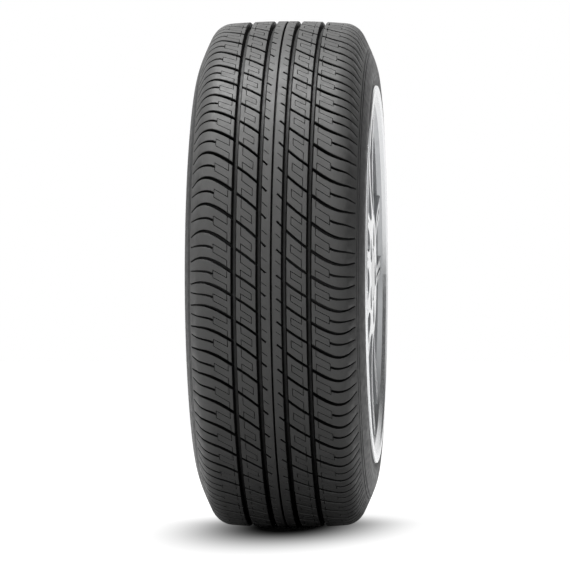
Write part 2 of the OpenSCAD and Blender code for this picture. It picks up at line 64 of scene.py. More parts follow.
class Wiring:
    """Adds and links the nodes of one material or node group."""

    def __init__(self, tree: bpy.types.NodeTree) -> None:
        """Takes the node tree of a material or a group, to be filled."""
        self.tree = tree

    def node(self, kind: str, inputs: dict | None = None, **settings) -> bpy.types.Node:
        """Adds one node.

        Args:
            kind: the node's type name.
            inputs: values or sockets by input name or number.
            settings: attributes of the node.

        Returns:
            The new node.
        """
        made = self.tree.nodes.new(kind)
        for name, value in settings.items():
            setattr(made, name, value)
        for key, value in (inputs or {}).items():
            self.feed(made.inputs[key], value)
        return made

    def feed(self, socket: bpy.types.NodeSocket, value: object) -> None:
        """Links a socket, or sets its own value.

        Args:
            socket: the input to fill.
            value: another node's output, or a plain value.
        """
        if isinstance(value, bpy.types.NodeSocket):
            self.tree.links.new(value, socket)
        else:
            socket.default_value = value

    def maths(self, operation: str, a: object, b: object = 0.0) -> bpy.types.NodeSocket:
        """Returns the result of one sum on one or two values."""
        return self.node("ShaderNodeMath", {0: a, 1: b}, operation=operation).outputs[0]

    def ramp(self, value: object, low: float, high: float, to_low: float = 0.0,
             to_high: float = 1.0, smooth: bool = True) -> bpy.types.NodeSocket:
        """Carries a value from one range to another and stops at its ends.

        Args:
            value: the value to carry over.
            low: where the range that it comes from starts.
            high: where that range ends.
            to_low: where the range that it goes to starts.
            to_high: where that range ends.
            smooth: eases in and out.

        Returns:
            The carried value.
        """
        return self.node(
            "ShaderNodeMapRange",
            {0: value, 1: low, 2: high, 3: to_low, 4: to_high},
            interpolation_type="SMOOTHSTEP" if smooth else "LINEAR", clamp=True).outputs[0]

    def mix(self, share: object, a: object, b: object) -> bpy.types.NodeSocket:
        """Blends two colours.

        Args:
            share: how much of the second colour there is, from 0 to 1.
            a: the first colour.
            b: the second colour.

        Returns:
            The blended colour.
        """
        made = self.node("ShaderNodeMix", data_type="RGBA")
        for number, value in ((0, share), (6, a), (7, b)):
            self.feed(made.inputs[number], value)
        return made.outputs[2]

    def place(self) -> bpy.types.NodeSocket:
        """Returns the piece's own coordinates, in metres."""
        return self.node("ShaderNodeTexCoord").outputs["Object"]

    def group(self, tree: bpy.types.NodeTree, inputs: dict) -> bpy.types.Node:
        """Places a shared group.

        Args:
            tree: the group's node tree.
            inputs: values or sockets by input name.

        Returns:
            The group's node.
        """
        made = self.tree.nodes.new("ShaderNodeGroup")
        made.node_tree = tree
        for key, value in inputs.items():
            self.feed(made.inputs[key], value)
        return made


def rgba(colour: Sequence[float]) -> tuple[float, float, float, float]:
    """Returns a colour with full opacity."""
    return (colour[0], colour[1], colour[2], 1.0)


class SharedEffects:
    """The node groups that several finishes use, each built once."""

    def __init__(self) -> None:
        """Builds the groups."""
        self.grain = self._grain()
        self.soiling = self._soiling()

    @staticmethod
    def _open(name: str, inputs: Iterable[tuple[str, str, object]],
              outputs: Iterable[tuple[str, str]]) -> tuple[Wiring, bpy.types.Node, bpy.types.Node]:
        """Starts a group with its named sockets.

        Args:
            name: the group's name.
            inputs: name, socket type and starting value of each input.
            outputs: name and socket type of each output.

        Returns:
            The wiring, the group's input node and its output node.
        """
        tree = bpy.data.node_groups.new(name, "ShaderNodeTree")
        for title, kind, value in inputs:
            socket = tree.interface.new_socket(name=title, in_out="INPUT", socket_type=kind)
            if value is not None:
                socket.default_value = value
        for title, kind in outputs:
            tree.interface.new_socket(name=title, in_out="OUTPUT", socket_type=kind)
        wiring = Wiring(tree)
        return wiring, wiring.node("NodeGroupInput"), wiring.node("NodeGroupOutput")

    def _grain(self) -> bpy.types.NodeTree:
        """Makes the fine skin of a moulded or cast surface.

        The height is 0.6 of a fine noise and 0.4 of a coarser one, and the coarse noise alone
        carries the roughness from its low to its high end.

        Returns:
            The group's node tree.
        """
        wiring, start, end = self._open(
            "fine_grain",
            [("Vector", "NodeSocketVector", None), ("Size", "NodeSocketFloat", 0.001),
             ("Roughness Low", "NodeSocketFloat", 0.4), ("Roughness High", "NodeSocketFloat", 0.6)],
            [("Height", "NodeSocketFloat"), ("Roughness", "NodeSocketFloat")])
        scale = wiring.maths("DIVIDE", 1.0, start.outputs["Size"])
        fine = wiring.node("ShaderNodeTexNoise", {
            "Vector": start.outputs["Vector"], "Scale": scale, "Detail": 3.0, "Roughness": 0.6})
        coarse = wiring.node("ShaderNodeTexNoise", {
            "Vector": start.outputs["Vector"], "Scale": wiring.maths("MULTIPLY", scale, 0.13),
            "Detail": 2.0, "Roughness": 0.5})
        height = wiring.maths("ADD", wiring.maths("MULTIPLY", fine.outputs[0], 0.6),
                              wiring.maths("MULTIPLY", coarse.outputs[0], 0.4))
        rough = wiring.node("ShaderNodeMapRange", {
            0: coarse.outputs[0], 1: 0.35, 2: 0.65,
            3: start.outputs["Roughness Low"], 4: start.outputs["Roughness High"]})
        wiring.feed(end.inputs["Height"], height)
        wiring.feed(end.inputs["Roughness"], rough.outputs[0])
        return wiring.tree

    def _soiling(self) -> bpy.types.NodeTree:
        """Makes the uneven tint of a used surface: a base colour that drifts towards another.

        A noise between 0.38 and 0.66, times the share, blends the two colours.

        Returns:
            The group's node tree.
        """
        wiring, start, end = self._open(
            "uneven_tint",
            [("Vector", "NodeSocketVector", None), ("Size", "NodeSocketFloat", 0.05),
             ("Base", "NodeSocketColor", (0.5, 0.5, 0.5, 1.0)),
             ("Drift", "NodeSocketColor", (0.4, 0.4, 0.4, 1.0)),
             ("Share", "NodeSocketFloat", 0.5)],
            [("Color", "NodeSocketColor")])
        noise = wiring.node("ShaderNodeTexNoise", {
            "Vector": start.outputs["Vector"],
            "Scale": wiring.maths("DIVIDE", 1.0, start.outputs["Size"]),
            "Detail": 5.0, "Roughness": 0.62})
        share = wiring.maths("MULTIPLY", wiring.ramp(noise.outputs[0], 0.38, 0.66),
                             start.outputs["Share"])
        wiring.feed(end.inputs["Color"],
                    wiring.mix(share, start.outputs["Base"], start.outputs["Drift"]))
        return wiring.tree


# ---- Finishes ----


@dataclass(frozen=True)
class RubberFinish:
    """Black tyre rubber with a fine moulded skin, and painted shade where the surface is sunk.

    The point attribute "sunk" is nought on the surface and grows to one on a groove's floor. The
    walls of a cut take a near-black painted shade of the colour and the floors of the wide grooves
    a lighter painted shade, standing in for the shade in those recesses.
    """

    name: str
    colour: Colour
    drift: Colour
    rough: Range
    grain: float
    bump: float
    specular: float
    tint_size: float = 0.03
    tint_share: float = 0.6
    # Painted shade: the shares of the colour that a cut's walls and the wide grooves' floors take
    wall_painted_shade: float = 0.04
    wall_sunk: Range = (0.01, 0.12)
    floor_painted_shade: float = 0.35
    floor_sunk: Range = (0.9, 1.0)
    bump_height: float = 0.0002

    def material(self, effects: SharedEffects) -> bpy.types.Material:
        """Builds the material.

        Args:
            effects: the shared node groups.

        Returns:
            The finished material.
        """
        made, wiring, skin = new_material(self.name)
        place = wiring.place()
        tint = wiring.group(effects.soiling, {
            "Vector": place, "Size": self.tint_size, "Base": rgba(self.colour),
            "Drift": rgba(self.drift), "Share": self.tint_share}).outputs[0]
        grain = wiring.group(effects.grain, {
            "Vector": place, "Size": self.grain,
            "Roughness Low": self.rough[0], "Roughness High": self.rough[1]})
        sunk = wiring.node("ShaderNodeAttribute", attribute_name="sunk").outputs["Fac"]
        # Painted shade in the cuts: darker copies of the colour on the walls and on the wide
        # grooves' floors
        wall = tuple(self.wall_painted_shade * c for c in self.colour)
        floor = tuple(self.floor_painted_shade * c for c in self.colour)
        tint = wiring.mix(wiring.ramp(sunk, *self.wall_sunk), tint, rgba(wall))
        tint = wiring.mix(wiring.ramp(sunk, *self.floor_sunk), tint, rgba(floor))
        bump = wiring.node("ShaderNodeBump", {
            "Height": grain.outputs["Height"], "Strength": self.bump,
            "Distance": self.bump_height})
        wiring.feed(skin.inputs["Base Color"], tint)
        wiring.feed(skin.inputs["Roughness"], grain.outputs["Roughness"])
        wiring.feed(skin.inputs["Normal"], bump.outputs[0])
        skin.inputs["Specular IOR Level"].default_value = self.specular
        return made


@dataclass(frozen=True)
class AlloyFinish:
    """Cast alloy with a lacquered silver coat, turned bright on the design face and the lip.

    Lengths are in metres. The face is bright where its normal looks along -Y and lies beyond
    face_from, and the lip is bright beyond both its radius and its place along the axle. Turned
    parts have fine rings round the axle in place of the cast grain.
    """

    name: str
    paint: Colour
    bright: Colour
    face_from: float
    face_blend: float = 0.004
    face_normal: Range = (-0.80, -0.90)
    lip_radius: Range = (0.2190, 0.2225)
    lip_place: Range = (-0.090, -0.097)
    rings_per_m: float = 5200.0
    ring_rough: Range = (0.16, 0.28)
    tint_size: float = 0.04
    tint_share: float = 0.7
    drift_shade: float = 0.86
    grain: float = 0.0012
    rough: Range = (0.30, 0.40)
    cast_bump: float = 0.6
    bump: float = 0.25
    bump_height: float = 0.0001
    metallic: float = 0.75
    coat: float = 0.35
    coat_rough: float = 0.08

    def material(self, effects: SharedEffects) -> bpy.types.Material:
        """Builds the material.

        Args:
            effects: the shared node groups.

        Returns:
            The finished material.
        """
        made, wiring, skin = new_material(self.name)
        place = wiring.place()
        parts = wiring.node("ShaderNodeSeparateXYZ", {0: place})
        x, y, z = (parts.outputs[i] for i in range(3))
        radius = wiring.maths("SQRT", wiring.maths("ADD", wiring.maths("MULTIPLY", x, x),
                                                   wiring.maths("MULTIPLY", z, z)))
        facing = wiring.node("ShaderNodeSeparateXYZ",
                             {0: wiring.node("ShaderNodeNewGeometry").outputs["Normal"]}).outputs[1]
        face = wiring.maths("MULTIPLY", wiring.ramp(facing, *self.face_normal),
                            wiring.ramp(y, self.face_from, self.face_from - self.face_blend))
        lip = wiring.maths("MULTIPLY", wiring.ramp(radius, *self.lip_radius),
                           wiring.ramp(y, *self.lip_place))
        turned = wiring.maths("MAXIMUM", face, lip)
        rings = wiring.node("ShaderNodeCombineXYZ", {
            0: wiring.maths("MULTIPLY", radius, self.rings_per_m)})
        lines = wiring.node("ShaderNodeTexNoise", {"Vector": rings.outputs[0], "Scale": 1.0,
                                                   "Detail": 2.0}).outputs[0]
        grain = wiring.group(effects.grain, {
            "Vector": place, "Size": self.grain,
            "Roughness Low": self.rough[0], "Roughness High": self.rough[1]})
        tint = wiring.group(effects.soiling, {
            "Vector": place, "Size": self.tint_size, "Base": rgba(self.paint),
            "Drift": rgba(tuple(self.drift_shade * c for c in self.paint)),
            "Share": self.tint_share}).outputs[0]
        height = wiring.maths("ADD", wiring.maths("MULTIPLY", lines, turned),
                              wiring.maths("MULTIPLY", grain.outputs["Height"],
                                           wiring.maths("SUBTRACT", self.cast_bump, turned)))
        bump = wiring.node("ShaderNodeBump", {
            "Height": height, "Strength": self.bump, "Distance": self.bump_height})
        rough = wiring.node("ShaderNodeMix", {
            0: turned, 2: grain.outputs["Roughness"],
            3: wiring.ramp(lines, 0.3, 0.7, *self.ring_rough)})
        wiring.feed(skin.inputs["Base Color"], wiring.mix(turned, tint, rgba(self.bright)))
        wiring.feed(skin.inputs["Roughness"], rough.outputs[0])
        wiring.feed(skin.inputs["Normal"], bump.outputs[0])
        skin.inputs["Metallic"].default_value = self.metallic
        skin.inputs["Coat Weight"].default_value = self.coat
        skin.inputs["Coat Roughness"].default_value = self.coat_rough
        return made


@dataclass(frozen=True)
class PlainFinish:
    """A small part's finish, with a fine skin and an uneven tint."""

    name: str
    colour: Colour
    drift: Colour
    rough: Range
    metallic: float
    coat: float = 0.0
    grain: float = 0.0008
    tint_size: float = 0.008
    tint_share: float = 0.7
    bump: float = 0.12
    bump_height: float = 0.00005

    def material(self, effects: SharedEffects) -> bpy.types.Material:
        """Builds the material.

        Args:
            effects: the shared node groups.

        Returns:
            The finished material.
        """
        made, wiring, skin = new_material(self.name)
        place = wiring.place()
        tint = wiring.group(effects.soiling, {
            "Vector": place, "Size": self.tint_size, "Base": rgba(self.colour),
            "Drift": rgba(self.drift), "Share": self.tint_share}).outputs[0]
        grain = wiring.group(effects.grain, {
            "Vector": place, "Size": self.grain,
            "Roughness Low": self.rough[0], "Roughness High": self.rough[1]})
        bump = wiring.node("ShaderNodeBump", {
            "Height": grain.outputs["Height"], "Strength": self.bump,
            "Distance": self.bump_height})
        wiring.feed(skin.inputs["Base Color"], tint)
        wiring.feed(skin.inputs["Roughness"], grain.outputs["Roughness"])
        wiring.feed(skin.inputs["Normal"], bump.outputs[0])
        skin.inputs["Metallic"].default_value = self.metallic
        skin.inputs["Coat Weight"].default_value = self.coat
        return made


def new_material(name: str) -> tuple[bpy.types.Material, Wiring, bpy.types.Node]:
    """Starts a material with one principled shader.

    Args:
        name: the material's name.

    Returns:
        The material, its wiring and the shader node.
    """
    made = bpy.data.materials.new(name)
    made.use_nodes = True
    made.node_tree.nodes.clear()
    wiring = Wiring(made.node_tree)
    skin = wiring.node("ShaderNodeBsdfPrincipled")
    wiring.node("ShaderNodeOutputMaterial", {"Surface": skin.outputs[0]})
    return made, wiring, skin


# ---- Tyre ----


@dataclass(frozen=True)
class Groove:
    """One cut in the tread: a strip along a line of [across, along] points.

    The strip is of even width, or has a share of that width at each point of the line. Its edge is
    chamfered, its wall slants in by the draft, and a cut that fades grows shallow outwards.
    """

    line: Line
    width: float
    depth: float
    draft: float
    chamfer: float = 0.0
    fades: bool = False
    shares: tuple[float, ...] = ()

    @property
    def floored(self) -> bool:
        """Whether the cut is wide enough, over 6 mm, to show its floor."""
        return self.width > 6

    def outline(self, inset: float) -> np.ndarray:
        """Draws the strip's closed outline, in from its edge by an inset.

        Each side is the line moved sideways by half the width there less the inset. At a bend the
        two moved lines are carried on until they meet, and each end is drawn in by the inset.

        Args:
            inset: distance in from the strip's edge.

        Returns:
            The outline's points as [across, along].
        """
        points = np.array(self.line, float)
        steps = np.diff(points, axis=0)
        steps /= np.linalg.norm(steps, axis=1)[:, None]
        points[0] += steps[0] * inset
        points[-1] -= steps[-1] * inset
        normals = np.stack([-steps[:, 1], steps[:, 0]], axis=1)
        before = np.vstack([normals[:1], normals])
        after = np.vstack([normals, normals[-1:]])
        joint = before + after
        joint /= np.sum(joint * before, axis=1)[:, None]
        half = self.width / 2 * np.array(self.shares or [1.0] * len(points))
        offset = joint * (half - inset)[:, None]
        return np.vstack([points + offset, (points - offset)[::-1]])

    def moved(self, along: float) -> "Groove":
        """Returns the same cut moved along the tread."""
        return replace(self, line=tuple((x, y + along) for x, y in self.line))

    def turned(self) -> "Groove":
        """Returns the same cut turned half a turn about the tread's middle."""
        return replace(self, line=tuple((-x, -y) for x, y in self.line))

    def insets(self) -> list[float]:
        """Returns the insets at which the wall bends: edge, chamfer's foot and wall's foot."""
        return sorted({0.0, self.chamfer, self.foot})

    @property
    def foot(self) -> float:
        """Distance in from the strip's edge to the foot of its wall."""
        return min(self.chamfer + self.draft, self.width / 2)

    def depth_at(self, points: np.ndarray) -> np.ndarray:
        """Returns how deep this cut goes at each point, nought outside the strip."""
        # The depth equals the inset down to the chamfer's foot, then grows evenly across the draft.
        # That foot is set off by a ten-thousandth, so that the points rise without a chamfer too
        inside = distance_inside(points, self.outline(0.0))
        return np.interp(inside, [0.0, self.chamfer + 1e-4, self.foot],
                         [0.0, self.chamfer, self.depth])


def distance_inside(points: np.ndarray, ring: np.ndarray) -> np.ndarray:
    """Measures how far points lie inside a closed outline.

    The distance is the least over the outline's edges of the distance to that edge. A point is
    inside where a line drawn across from it crosses the outline an odd number of times.

    Args:
        points: the points as rows of two.
        ring: the outline's points in order.

    Returns:
        Each point's distance from the outline, nought outside it.
    """
    a, b = ring, np.roll(ring, -1, axis=0)
    run = b - a
    rel = points[:, None, :] - a[None]
    share = np.clip(np.sum(rel * run, axis=2) / np.maximum(np.sum(run * run, axis=1), 1e-12), 0, 1)
    gap = np.linalg.norm(rel - share[..., None] * run, axis=2).min(axis=1)
    above = (a[None, :, 1] > points[:, 1:2]) != (b[None, :, 1] > points[:, 1:2])
    with np.errstate(divide="ignore", invalid="ignore"):
        cross = a[:, 0] + (points[:, 1:2] - a[:, 1]) * run[:, 0] / run[:, 1]
    odd = np.sum(above & (points[:, 0:1] < cross), axis=1) % 2 == 1
    return np.where(odd, gap, 0.0)


@dataclass
class TyreSizes:
    """Sizes of the tyre, in millimetres and degrees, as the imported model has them.

    aspect_pct is in percent of the width, and the climbs and the bow are plain ratios.
    """

    section_w: float = 215.0
    aspect_pct: float = 45.0
    rim_d: float = 431.8
    contact_flat: float = 2.0
    crown_r: float = 900.0
    crown_half_w: float = 70.0
    shoulder_r: float = 26.0
    shoulder_turn: float = 64.0
    bulge_drop: float = 61.0
    crown_t: float = 15.0
    sidewall_t: float = 8.0
    bead_w: float = 19.5
    bead_fit: float = 0.2
    rim_w: float = 190.5
    flange_h: float = 17.5
    flange_r: float = 9.5
    flange_leave: float = 50.0
    heel_r: float = 4.5
    seat_rise: float = 2.4
    seat_slope: float = 5.0
    guard_rise: float = 9.0
    pitch_count: int = 64
    groove_depth: float = 8.0
    inner_groove_at: float = 15.1
    inner_groove_w: float = 7.4
    outer_groove_at: float = 44.7
    outer_groove_w: float = 7.4
    centre_groove_w: float = 3.2
    cross_depth: float = 6.5
    cross_climb: float = 0.8
    cross_bow: float = 0.2
    shoulder_climb: float = 0.7
    climb_start: float = 4.9
    climb_end: float = 84.0

    @property
    def tyre_r(self) -> float:
        """Radius over the crown."""
        return self.rim_d / 2 + self.section_w * self.aspect_pct / 100

    @property
    def half_w(self) -> float:
        """Half the width over the sidewalls."""
        return self.section_w / 2

    @property
    def pitch_l(self) -> float:
        """Length of an average pitch round the crown."""
        return 2 * math.pi * self.tyre_r / self.pitch_count

    @property
    def crown_turn(self) -> float:
        """Angle at which the crown turns into the shoulder, in radians."""
        return math.asin(self.crown_half_w / self.crown_r)

    @property
    def flange_top(self) -> float:
        """Radius over the rim's flanges."""
        return self.rim_d / 2 + self.flange_h


def bow(start: np.ndarray, by: np.ndarray, end: np.ndarray, steps: int) -> np.ndarray:
    """Returns a curve that leaves and arrives along the lines through a middle point."""
    # Each point is (1-t)(1-t) start + 2t(1-t) by + t t end
    t = np.linspace(0, 1, steps + 1)[:, None]
    return (1 - t) ** 2 * start + 2 * t * (1 - t) * by + t ** 2 * end


@dataclass
class Tyre:
    """The tyre: a tread cut by grooves, two sidewalls, two beads and the lining.

    Lengths are in millimetres. The mesh has lines round the tyre at half_stations on both sides of
    the middle, closest where the shoulder bends most. Below the tread's edge the section has
    points at lines_at, in threes of which the middle one is sunk into a moulded line, and at
    side_at, all measured along the section from that edge.
    """

    sizes: TyreSizes = field(default_factory=TyreSizes)
    tread_finish: RubberFinish = RubberFinish(
        "tread_rubber", (0.084, 0.084, 0.083), (0.100, 0.100, 0.099),
        rough=(0.42, 0.54), grain=0.0011, bump=0.5, specular=0.2)
    side_finish: RubberFinish = RubberFinish(
        "sidewall_rubber", (0.040, 0.040, 0.041), (0.050, 0.050, 0.050),
        rough=(0.40, 0.55), grain=0.0009, bump=0.25, specular=0.35)
    tread_edge: float = 98.8
    half_stations: tuple[float, ...] = (4.9, 22, 30, 37, 57, 69, 73, 77, 80.5, 83.5, 86, 88.2,
                                        90.4, 92.8, 95.6)
    along_steps: int = 4
    groove_draft: float = 1.8
    edge_chamfer: float = 0.5
    slit_w: float = 0.8
    slit_depth: float = 4.0
    slit_draft: float = 0.4
    fade_at: tuple[float, ...] = (60, 74, 84, 92, 96.5, 98.1)
    fade_to: tuple[float, ...] = (1.0, 0.85, 0.62, 0.42, 0.25, 0.0)
    # Narrow cuts stop at this share of their depth, so their painted shade stays the walls'
    # near-black one
    narrow_share: float = 0.6
    lines_at: tuple[float, ...] = (0.3, 1.3, 2.3, 5.0, 6.0, 7.0)
    line_depth: float = 0.8
    # Painted shade in the crease of each moulded line, given to its middle row as its sunk value
    line_painted_shade: float = 0.35
    side_at: tuple[float, ...] = (10, 13.5, 17, 20.5, 24, 27.5, 31, 34)
    # The shallow band between the widest place and the rib, which starts and ends at its edges
    band_edge: float = 0.05
    band_depth: float = 0.5
    band_out: tuple[float, ...] = (2.2, 2.9, 4.4)
    # The rib that guards the flange: in from the widest place, and out from the rib's radius
    rib: Line = ((0.05, 3.7), (0.2, 2.2), (0.6, 0.9), (1.6, -1.2), (3.4, -3.0))
    lining_drop: float = 25.0
    lining_rows: int = 8
    sharp_deg: float = 28.0

    # -- the section --

    def surface_curve(self) -> np.ndarray:
        """Draws the outer section from the crown's middle to the widest place.

        It is a wide arc for the crown, a small arc for the shoulder, and a bow to the widest place.

        Returns:
            The section's points as [across, radius].
        """
        s = self.sizes
        turn = np.radians(s.shoulder_turn)
        crown = np.linspace(0, s.crown_turn, 40)[:-1]
        crown_line = np.stack([s.crown_r * np.sin(crown),
                               s.tyre_r - s.crown_r + s.crown_r * np.cos(crown)], axis=1)
        reach = s.crown_r - s.shoulder_r
        centre = np.array([reach * math.sin(s.crown_turn),
                           s.tyre_r - s.crown_r + reach * math.cos(s.crown_turn)])
        arc = np.linspace(s.crown_turn, turn, 60)
        shoulder = centre + s.shoulder_r * np.stack([np.sin(arc), np.cos(arc)], axis=1)
        end = shoulder[-1]
        knee = np.array([s.half_w, end[1] - (s.half_w - end[0]) * math.tan(turn)])
        side = bow(end, knee, np.array([s.half_w, s.tyre_r - s.bulge_drop]), 60)
        return np.vstack([crown_line, shoulder, side[1:]])

    def on_surface(self, across: np.ndarray) -> tuple[np.ndarray, np.ndarray]:
        """Finds the tread's surface at distances across it.

        The direction is the section's slope turned a quarter, by differences along the curve.

        Args:
            across: distances from the tyre's middle, with their sign.

        Returns:
            The radius there, and the outward direction as [across, radius].
        """
        curve = self.surface_curve()
        slope = np.gradient(curve, axis=0)
        slope /= np.linalg.norm(slope, axis=1)[:, None]
        out = np.abs(across)
        radius = np.interp(out, curve[:, 0], curve[:, 1])
        sideways = np.interp(out, curve[:, 0], -slope[:, 1])
        upwards = np.interp(out, curve[:, 0], slope[:, 0])
        size = np.hypot(sideways, upwards)
        return radius, np.stack([np.sign(across) * sideways / size, upwards / size], axis=1)

    # -- the pattern --

    def climb(self, out: np.ndarray) -> np.ndarray:
        """Finds how far the cross grooves have climbed at distances from the middle.

        The line is a shallow bow through the ribs, and then eases to level over the shoulder as
        t less a third of its third power.

        Args:
            out: distances from the middle, without a sign.

        Returns:
            The climb along the tread at each of them.
        """
        s = self.sizes
        bend = s.outer_groove_at + 0.6
        rise = s.cross_climb * (bend - s.climb_start)
        u = (out - s.climb_start) / (bend - s.climb_start)
        t = (out - bend) / (s.climb_end - bend)
        eased = rise + s.shoulder_climb * (s.climb_end - bend) * (t - t ** 3 / 3)
        return np.where(out <= s.climb_start, 0.0,
                        np.where(out <= bend, rise * (u + s.cross_bow * u * (1 - u)), eased))

    def stations(self) -> np.ndarray:
        """Returns the distances across the tread at which its mesh has a line round the tyre."""
        half = np.array([*self.half_stations, self.tread_edge])
        return np.concatenate([-half[::-1], [0.0], half])

    def seam(self, across: np.ndarray) -> np.ndarray:
        """Returns where one pitch starts: along the middle of the cross groove on both sides."""
        # The line is straight between the stations
        at = self.stations()
        return np.interp(across, at, -np.sign(at) * self.climb(np.abs(at)))

    def along_groove(self, at: float, width: float, depth: float) -> Groove:
        """Makes one groove that runs right round the tyre, past both seams of a pitch.

        Args:
            at: its place across the tread.
            width: its width at the surface.
            depth: its whole depth.

        Returns:
            The groove, whose draft shrinks with a width under that of the inner grooves.
        """
        length = self.sizes.pitch_l
        draft = self.groove_draft * min(1.0, width / self.sizes.inner_groove_w)
        return Groove(((at, -3 * length), (at, 4 * length)), width, depth, draft, self.edge_chamfer)

    def cross_cuts(self) -> list[Groove]:
        """Lists the cuts of one pitch on the left half of the tread.

        Returns:
            The shoulder's, the rib's and the middle's stretch of the cross groove, the short
            groove between two of them, and the three slits.
        """
        s = self.sizes
        inner, outer = s.inner_groove_at, s.outer_groove_at

        def on_climb(outs: Sequence[float]) -> Line:
            """Returns points of the climbing line at distances from the middle."""
            return tuple((-o, float(self.climb(np.array(o)))) for o in outs)

        def slit(points: Sequence[tuple[float, float]]) -> Groove:
            """Returns a slit drawn as distances from the middle and climbs."""
            # They are drawn 1.4% too far out and 1% too high, and brought to the tread's size here
            return Groove(tuple((-0.9858 * a, 0.99 * c) for a, c in points),
                          self.slit_w, self.slit_depth, self.slit_draft)

        return [
            Groove(on_climb([outer, 51, 57, 63, 69, 75, 80, 85, 91, self.fade_at[-1]]),
                   width=4.8, depth=s.cross_depth, draft=0.9, chamfer=0.55, fades=True,
                   shares=(1.0, 1.04, 1.08, 1.08, 1.04, 1.0, 0.93, 0.85, 0.75, 0.65)),
            Groove(on_climb([inner, 22, 30, outer]),
                   width=4.0, depth=s.cross_depth, draft=0.8, chamfer=0.45),
            Groove(on_climb([6.1, inner]), width=2.8, depth=5.0, draft=0.6, chamfer=0.3),
            Groove(((-68.8, 30.6), (-73, 32.5), (-77.5, 33.6), (-83, 34.2), (-97.9, 34.6)),
                   width=3.7, depth=5.0, draft=0.8, chamfer=0.4, fades=True,
                   shares=(0.9, 1.0, 1.0, 0.9, 0.7)),
            slit([(53, 35.4), (53, 26.4), (69.8, 35.9), (69.8, 26.6), (53, 16.7), (53, 7.0)]),
            slit([(36.5, 24.0), (36.5, 14.1), (23.6, 4.9), (23.6, -3.8), (36.5, 5.0),
                  (36.5, -4.6)]),
            slit([(11.5, 20.1), (5.1, 14.9)]),
        ]

    def cuts(self) -> list[Groove]:
        """Lists every cut that reaches one pitch of the tread.

        Returns:
            The five grooves round the tyre, and the cross cuts of the pitch, of its neighbours and
            of the other side, where the pattern is turned half a turn.
        """
        s = self.sizes
        made = [self.along_groove(0.0, s.centre_groove_w, 0.75 * s.groove_depth)]
        for side in (-1, 1):
            for at, width in ((s.inner_groove_at, s.inner_groove_w),
                              (s.outer_groove_at, s.outer_groove_w)):
                made.append(self.along_groove(side * at, width, s.groove_depth))
        for cut in self.cross_cuts():
            made += [version.moved(step * s.pitch_l)
                     for version in (cut, cut.turned()) for step in (-2, -1, 0, 1, 2)]
        return made

    def depth_at(self, points: np.ndarray,
                 cuts: Sequence[Groove]) -> tuple[np.ndarray, np.ndarray]:
        """Finds the tread's depth at each point, by the deepest cut there.

        A cut that fades loses depth over the shoulder and ends level with the surface. The share of
        the cut's depth stops short of one in cuts too narrow to show their floor, so they keep the
        walls' near-black painted shade to the bottom.

        Args:
            points: the points as [across, along].
            cuts: the cuts that may reach them.

        Returns:
            The depth at each point, and the share that it is of its cut's whole depth.
        """
        fade = np.interp(np.abs(points[:, 0]), self.fade_at, self.fade_to)
        depth, share = np.zeros(len(points)), np.zeros(len(points))
        for cut in cuts:
            here = cut.depth_at(points)
            depth = np.maximum(depth, here * fade if cut.fades else here)
            # The share sets the rubber's painted shade in the cut
            most = 1.0 if cut.floored else self.narrow_share
            share = np.maximum(share, here / cut.depth * most)
        return depth, share

    def tile(self) -> tuple[np.ndarray, np.ndarray, np.ndarray, np.ndarray]:
        """Triangulates one pitch of the tread between its two seams.

        Every edge of every cut, the lines of the bending shoulder and lines along the seam are
        kept as edges of the triangulation. What lies beyond the seams is left out.

        Returns:
            The points as [across, along], the triangles, and at each point the depth and its
            share of the cut's whole depth.
        """
        s = self.sizes
        cuts = self.cuts()
        across = self.stations()
        points: list[np.ndarray] = []
        edges: list[tuple[int, int]] = []

        def draw(line: np.ndarray, closed: bool = False) -> None:
            """Adds a line of points and the edges between them.

            Args:
                line: the points as [across, along].
                closed: also joins the last point to the first.
            """
            first = len(points)
            points.extend(line)
            edges.extend((first + i, first + i + 1) for i in range(len(line) - 1))
            if closed:
                edges.append((first + len(line) - 1, first))

        for row in range(self.along_steps + 1):
            draw(np.stack([across, self.seam(across) + row * s.pitch_l / self.along_steps], axis=1))
        for a in across:
            start = float(self.seam(np.array(a)))
            draw(np.array([[a, start], [a, start + s.pitch_l]]))
        for cut in cuts:
            for inset in cut.insets():
                ring = cut.outline(inset)
                low, high = self.seam(ring[:, 0]), self.seam(ring[:, 0]) + s.pitch_l
                if not (np.all(ring[:, 1] < low) or np.all(ring[:, 1] > high)):
                    draw(ring, closed=True)
        flat, _, faces, *_ = delaunay_2d_cdt([Vector(p) for p in points], edges, [], 0, 1e-4)
        flat = np.array([tuple(p) for p in flat])
        faces = np.array(faces)
        centre = flat[faces].mean(axis=1)
        base = self.seam(centre[:, 0])
        keep = ((np.abs(centre[:, 0]) < self.tread_edge)
                & (centre[:, 1] > base) & (centre[:, 1] < base + s.pitch_l))
        faces = faces[keep]
        used = np.unique(faces)
        renumber = np.full(len(flat), -1)
        renumber[used] = np.arange(len(used))
        flat, faces = flat[used], renumber[faces]
        return flat, faces, *self.depth_at(flat, cuts)

    # -- the mesh --

    def pitch_angle(self, pitches: np.ndarray) -> np.ndarray:
        """Finds the angle round the tyre after so many pitches.

        The pitches are 9, 10 or 11 parts long in a rhythm of two sine waves, and an angle between
        two pitch starts is found by even shares.

        Args:
            pitches: numbers of pitches, whole or broken.

        Returns:
            The angles, in radians.
        """
        count = self.sizes.pitch_count
        i = np.arange(count)
        wave = (1.25 * np.sin(np.radians(i * 360 * 7 / count))
                + 0.2 * np.sin(np.radians(i * 97)))
        parts = 10 + np.sign(wave) * np.floor(np.abs(wave) + 0.5)
        sums = np.concatenate([[0.0], np.cumsum(parts)])
        angles = 2 * np.pi * sums / sums[-1]
        turns = np.floor(pitches / count)
        return 2 * np.pi * turns + np.interp(pitches - turns * count, np.arange(count + 1), angles)

